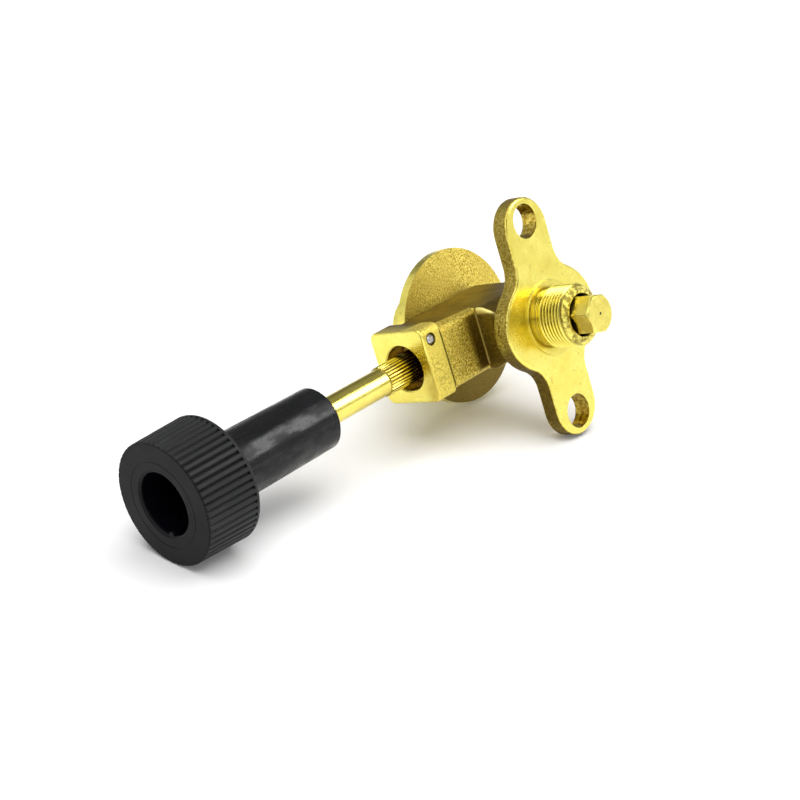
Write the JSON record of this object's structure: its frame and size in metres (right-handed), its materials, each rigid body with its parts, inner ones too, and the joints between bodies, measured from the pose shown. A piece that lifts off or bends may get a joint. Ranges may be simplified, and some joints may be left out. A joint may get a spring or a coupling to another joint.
{
  "type": "gas stove valve",
  "caption": "Brass gas stove valve: eared flange and threaded outlet with hexagon jet, round inlet disc with socket, and a needle spindle on a long rod turned by a ribbed black knob.",
  "frame": {"origin": "middle of the flange's front face, on the gas line, between the two ear holes", "axes": "+X along the gas line and out of the jet; -Y along the spindle towards the knob; +Z along the ears, upwards"},
  "size_m": [0.0452, 0.0947, 0.0446],
  "materials": {
    "forged_brass": "as forged, with machined faces",
    "turned_brass": "bright turned",
    "steel": "bright",
    "black_plastic": "satin moulded",
    "seal_rubber": "matt",
    "sintered_bronze": "sintered"
  },
  "bodies": {
    "valve": {"valve_body": "forged_brass", "retaining_pin": "steel", "jet": "turned_brass", "jet_filter": "sintered_bronze", "inlet_seal": "seal_rubber", "inlet_pin": "turned_brass"},
    "stem_seal": {"stem_o_ring": "seal_rubber"},
    "spindle": {"needle_spindle": "turned_brass", "control_rod": "turned_brass", "knob": "black_plastic", "knob_washer": "steel", "knob_screw": "steel"}
  },
  "joints": [
    {"name": "spindle_travel", "type": "slide", "parent": "valve", "child": "stem_seal", "axis": [0, -1, 0], "range_m": [0, 0.0015]},
    {"name": "spindle_turn", "type": "hinge", "parent": "stem_seal", "child": "spindle", "pos_m": [-0.01562, 0, 0], "axis": [0, -1, 0], "range_deg": [0, 540]}
  ],
  "couplings": [
    {"joint": "spindle_turn", "follows": "spindle_travel", "rad_per_m": 6283.2}
  ]
}
